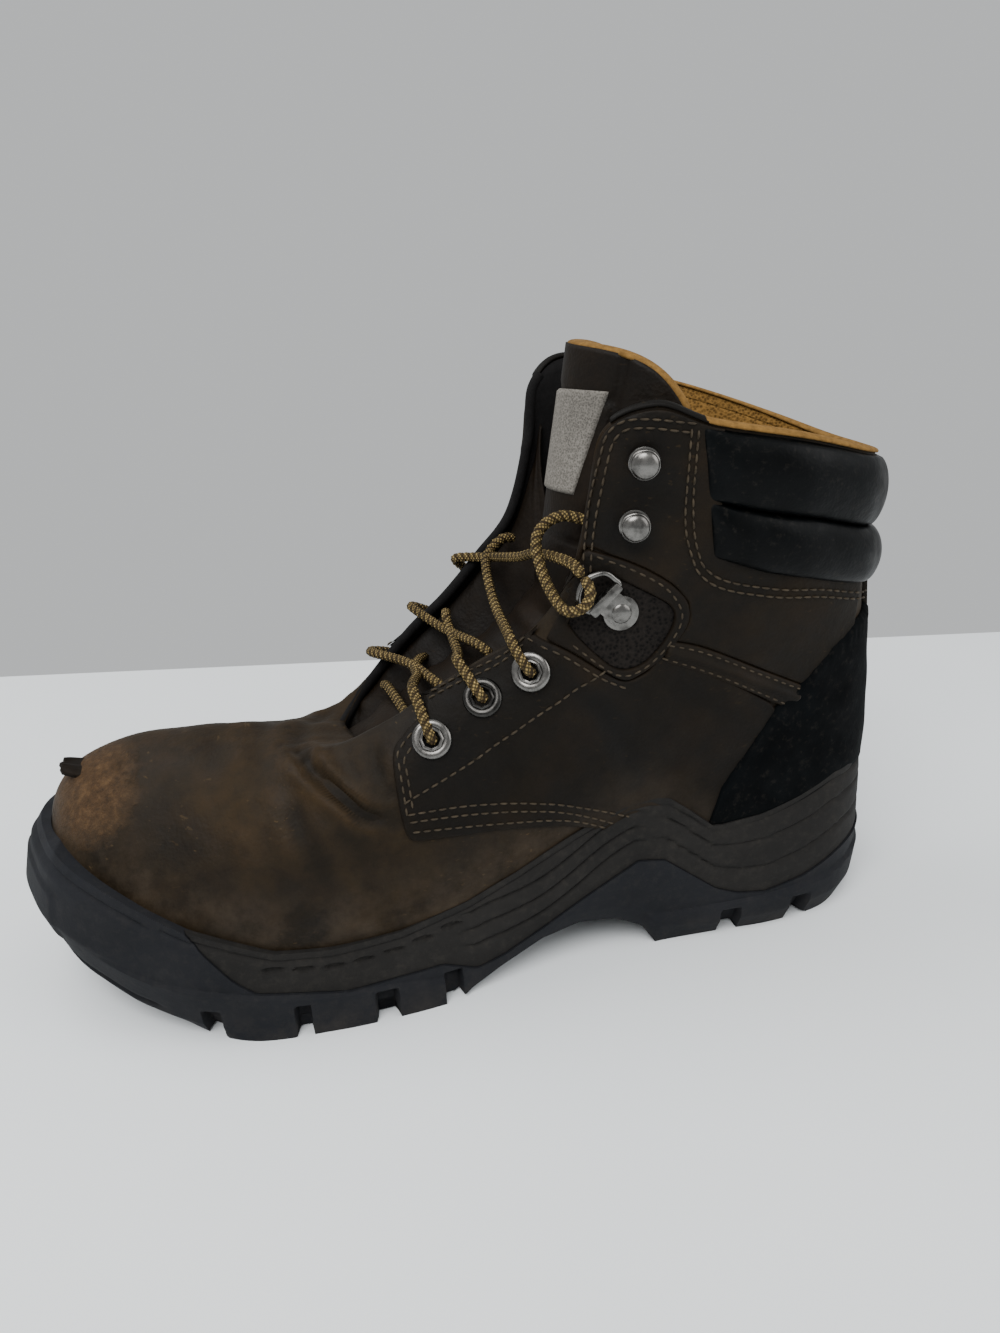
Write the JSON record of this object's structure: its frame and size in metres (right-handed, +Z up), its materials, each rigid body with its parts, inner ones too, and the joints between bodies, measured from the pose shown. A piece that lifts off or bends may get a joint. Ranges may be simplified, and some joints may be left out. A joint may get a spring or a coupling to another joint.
{
  "type": "muddy work boot",
  "caption": "Left lace-up leather work boot with padded collar, bumper toe, heel counter and lugged rubber sole, worn and dirty, standing empty.",
  "frame": {"origin": "centre of the footprint on the floor", "axes": "+X towards the toe, +Y towards the outer side of the foot, +Z up"},
  "size_m": [0.318, 0.1105, 0.2072],
  "materials": {
    "brown_leather": "matt, oiled and scuffed",
    "black_leather": "satin",
    "black_rubber": "matt",
    "midsole_rubber": "matt",
    "insole_fabric": "matt",
    "lining_mesh": "mustard knitted mesh and tape",
    "thread": "twisted tan thread",
    "woven_label": "pale grey weave, blank",
    "steel": "worn satin",
    "lace_cord": "braided, gold with brown flecks"
  },
  "bodies": {
    "root": {"upper": "brown_leather", "tongue": "brown_leather", "midsole": "midsole_rubber", "outsole": "black_rubber", "insole": "insole_fabric", "heel_counter": "black_leather", "collar_roll_upper": "black_leather", "collar_roll_lower": "black_leather", "eyelet_outer_1": "steel", "eyelet_outer_2": "steel", "eyelet_outer_3": "steel", "hook_stud_outer_1": "steel", "hook_stud_outer_2": "steel", "d_ring_outer": "steel", "eyelet_inner_1": "steel", "eyelet_inner_2": "steel", "eyelet_inner_3": "steel", "hook_stud_inner_1": "steel", "hook_stud_inner_2": "steel", "d_ring_inner": "steel", "lace_crossing_1": "lace_cord", "lace_crossing_2": "lace_cord", "lace_crossing_3": "lace_cord", "lace_bar": "lace_cord", "lace_loop": "lace_cord"}
  },
  "joints": []
}
